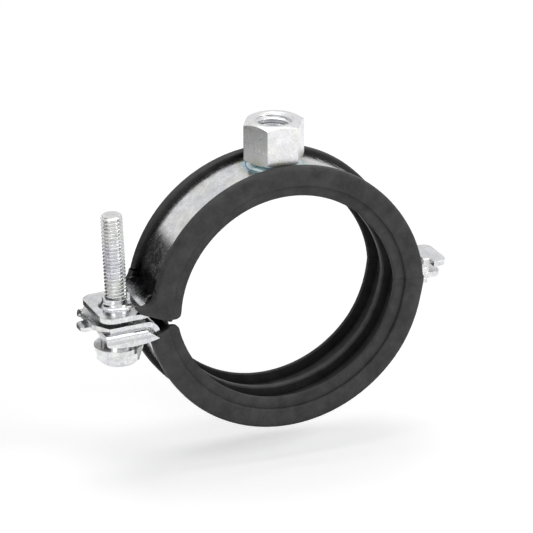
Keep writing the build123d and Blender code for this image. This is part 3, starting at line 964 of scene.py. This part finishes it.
@dataclass
class RetainingWasher:
    """The stamped saddle between the lower flange and the screw's head.

    Attributes:
        finish: Finish of the saddle.
    """

    finish: ZincPlate

    def build(self, nodes: dict[str, bpy.types.Object]) -> None:
        """Makes the saddle.

        Args:
            nodes: The frame's nodes by name.
        """
        saddle = welded_copy(nodes["retaining_washer"], "retaining_washer_piece")
        dress(saddle, self.finish.material())
        show(saddle, Body.WASHER, "zinc_washer", "retaining_washer")


@dataclass(frozen=True)
class SoftBox:
    """A soft lamp, or a dark card that takes the light away.

    Attributes:
        name: Its name.
        place: Where it stands.
        size: Its width and height.
        watts: Its power; 0 for a dark card.
        aim: The point that it faces.
    """

    name: str
    place: Place
    size: tuple[float, float]
    watts: float = 0.0
    aim: Place = (0.0, 0.0, 0.0)

    def build(self, card: bpy.types.Material) -> None:
        """Puts it in place, turned to its point.

        Args:
            card: What a dark card is made of.
        """
        place = Vector(self.place)
        turn = (Vector(self.aim) - place).to_track_quat("-Z", "Y").to_matrix().to_4x4()
        thing = self._lamp() if self.watts else self._card(card)
        bpy.context.scene.collection.objects.link(thing)
        thing.matrix_world = Matrix.Translation(place) @ turn

    def _lamp(self) -> bpy.types.Object:
        """Makes the lamp.

        Returns:
            The lamp's object.
        """
        lamp = bpy.data.lights.new(self.name, "AREA")
        lamp.shape, lamp.energy = "RECTANGLE", self.watts
        lamp.size, lamp.size_y = self.size
        return bpy.data.objects.new(self.name, lamp)

    def _card(self, finish: bpy.types.Material) -> bpy.types.Object:
        """Makes the dark card, which only reflections see.

        Args:
            finish: What it is made of.

        Returns:
            The card's object.
        """
        mesh = bpy.data.meshes.new(self.name)
        w, h = self.size[0] / 2, self.size[1] / 2
        mesh.from_pydata([(-w, -h, 0), (w, -h, 0), (w, h, 0), (-w, h, 0)], [], [(0, 1, 2, 3)])
        mesh.materials.append(finish)
        thing = bpy.data.objects.new(self.name, mesh)
        thing.visible_camera = thing.visible_diffuse = thing.visible_shadow = False
        thing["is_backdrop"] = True
        return thing


@dataclass
class Studio:
    """The floor, the light and the camera.

    Attributes:
        floor_level: Height of the floor.
        floor: Finish of the floor.
        floor_reach: Half the floor's width.
        room_glow: How brightly the room lights the clamp.
        room_gleam: How bright the room is in reflections.
        azimuth: The camera's turn from -Y towards -X, in degrees.
        elevation: The camera's height angle, in degrees.
        scale: Pixels to a millimetre at the clamp.
        distance: From the camera to the clamp.
        middle: The clamp's middle.
        right_of_middle: How far right of it the picture's centre lies.
        above_middle: How far above it the picture's centre lies.
        lamps: The soft lamps.
        cards: The dark cards.
    """

    floor_level: float
    floor: PaleFloor = PaleFloor()
    floor_reach: float = 6.0
    room_glow: float = 0.24
    room_gleam: float = 0.86
    azimuth: float = 22.3
    elevation: float = 21.6
    scale: float = 3.717
    distance: float = 1.167
    middle: Vector = field(default_factory=lambda: Vector((0.0, 0.0, -1.6 * MM)))
    right_of_middle: float = -1.945 * MM
    above_middle: float = 6.963 * MM
    lamps: tuple[SoftBox, ...] = (
        SoftBox("key", (0.75, -0.75, 0.75), (0.6, 0.6), 4.5),
        SoftBox("fill", (-0.85, -0.75, 0.5), (0.4, 0.6), 1.6),
        SoftBox("top", (0.0, 0.15, 1.1), (0.8, 0.8), 4.5),
    )
    cards: tuple[SoftBox, ...] = (
        SoftBox("strip_card", (-0.068, 0.075, -0.002), (0.05, 0.070)),
        SoftBox("bend_card", (-0.053, 0.03, 0.0165), (0.018, 0.017), aim=(-0.041, 0.0, 0.005)),
        SoftBox("nut_card", (-0.11, 0.015, 0.027), (0.08, 0.05), aim=(0.0, 0.0, 0.042)),
    )

    def build(self) -> None:
        """Sets up everything round the clamp."""
        bpy.context.scene.view_settings.view_transform = "Standard"
        self._lay_floor()
        self._light_room()
        card = CardBlack().material()
        for box in self.lamps + self.cards:
            box.build(card)
        self._camera()

    def _lay_floor(self) -> None:
        """Lays the pale floor."""
        reach = self.floor_reach
        mesh = bpy.data.meshes.new("floor")
        corners = [(-reach, -reach), (reach, -reach), (reach, reach), (-reach, reach)]
        mesh.from_pydata([(x, y, self.floor_level) for x, y in corners], [], [(0, 1, 2, 3)])
        mesh.materials.append(self.floor.material())
        floor = bpy.data.objects.new("floor", mesh)
        bpy.context.scene.collection.objects.link(floor)
        floor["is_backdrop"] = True

    def _light_room(self) -> None:
        """Fills the room with an even light, white where it is seen."""
        world = bpy.data.worlds.new("studio_room")
        world.use_nodes = True
        sheet = NodeSheet(world.node_tree)
        sheet.tree.nodes.clear()
        path = sheet.add("ShaderNodeLightPath").outputs
        level = sheet.spread(path["Is Glossy Ray"], 0.0, 1.0, self.room_glow, self.room_gleam)
        strength = sheet.math("MAXIMUM", level, path["Is Camera Ray"])
        light = {"Color": rgba(WHITE), "Strength": strength}
        background = sheet.add("ShaderNodeBackground", light)
        sheet.add("ShaderNodeOutputWorld", {"Surface": background.outputs[0]})
        bpy.context.scene.world = world

    def _camera(self) -> None:
        """Stands the camera."""
        turn, lift = math.radians(self.azimuth), math.radians(self.elevation)
        right = Vector((math.cos(turn), -math.sin(turn), 0.0))
        level = math.cos(lift)
        ahead = Vector((math.sin(turn) * level, math.cos(turn) * level, -math.sin(lift)))
        up = right.cross(ahead)
        aim = self.middle + right * self.right_of_middle + up * self.above_middle
        place = aim - ahead * self.distance
        lens = bpy.data.cameras.new("camera")
        lens.sensor_width = SENSOR_WIDTH
        lens.lens = lens.sensor_width * self.scale / MM * self.distance / PICTURE_SIDE
        camera = bpy.data.objects.new("camera", lens)
        bpy.context.scene.collection.objects.link(camera)
        axes = Matrix((right, up, -ahead)).transposed().to_4x4()
        camera.matrix_world = Matrix.Translation(place) @ axes
        bpy.context.scene.camera = camera


def main() -> None:
    """Builds the clamp's pieces and the studio round them."""
    logging.basicConfig(level=logging.INFO, format="%(name)s: %(message)s")
    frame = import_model()
    cad_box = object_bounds()
    nodes = frame["nodes"]
    turn = next(j for j in frame["joints"] if j["name"] == "screw_turn")
    roller = ThreadRoller()
    # The upper strip's bend by the screw gets painted shade.
    upper_strip = ZincPlate(
        "upper_strip_zinc", grain=Grain.ALONG_STRIP, heat=(36.0, 10.0), bend_shade=(-36.6, 6.5, 3.4))
    lower_strip = ZincPlate("lower_strip_zinc", grain=Grain.ALONG_STRIP)
    upper_rubber, lower_rubber = ExtrudedRubber("upper_rubber"), ExtrudedRubber("lower_rubber")
    RingHalf("upper", Body.UPPER_HALF, upper_strip, upper_rubber, SEAM_SHIFT).build(nodes)
    RingHalf("lower", Body.LOWER_HALF, lower_strip, lower_rubber, -SEAM_SHIFT).build(nodes)
    nut = ZincPlate(
        "nut_zinc", bright=(0.97, 0.97, 0.97), dull=(0.80, 0.80, 0.81), gloss=0.24, haze=0.4,
        ripple=0.012 * MM, grit=0.22, edge=0.4 * MM, heat=(33.6, 9.0))
    ConnectionNut(nut).build(nodes, roller)
    screw = ZincPlate("screw_zinc", clouds_per_mm=0.4, gloss=0.14, ripple=0.015 * MM)
    thread = replace(
        screw, name="thread_zinc", gloss=0.24, haze=0.34, ripple=0.003 * MM, grit=0.04, edge=0.0)
    axis = Vector(turn["axis"]).normalized()
    ClosingScrew(screw, thread, Vector(turn["pos_m"]), axis).build(nodes, roller)
    RetainingWasher(ZincPlate("washer_zinc", edge=0.06 * MM)).build(nodes)
    Studio(floor_level=cad_box[0][2] - HANG_HEIGHT).build()


if __name__ == "__main__":
    main()
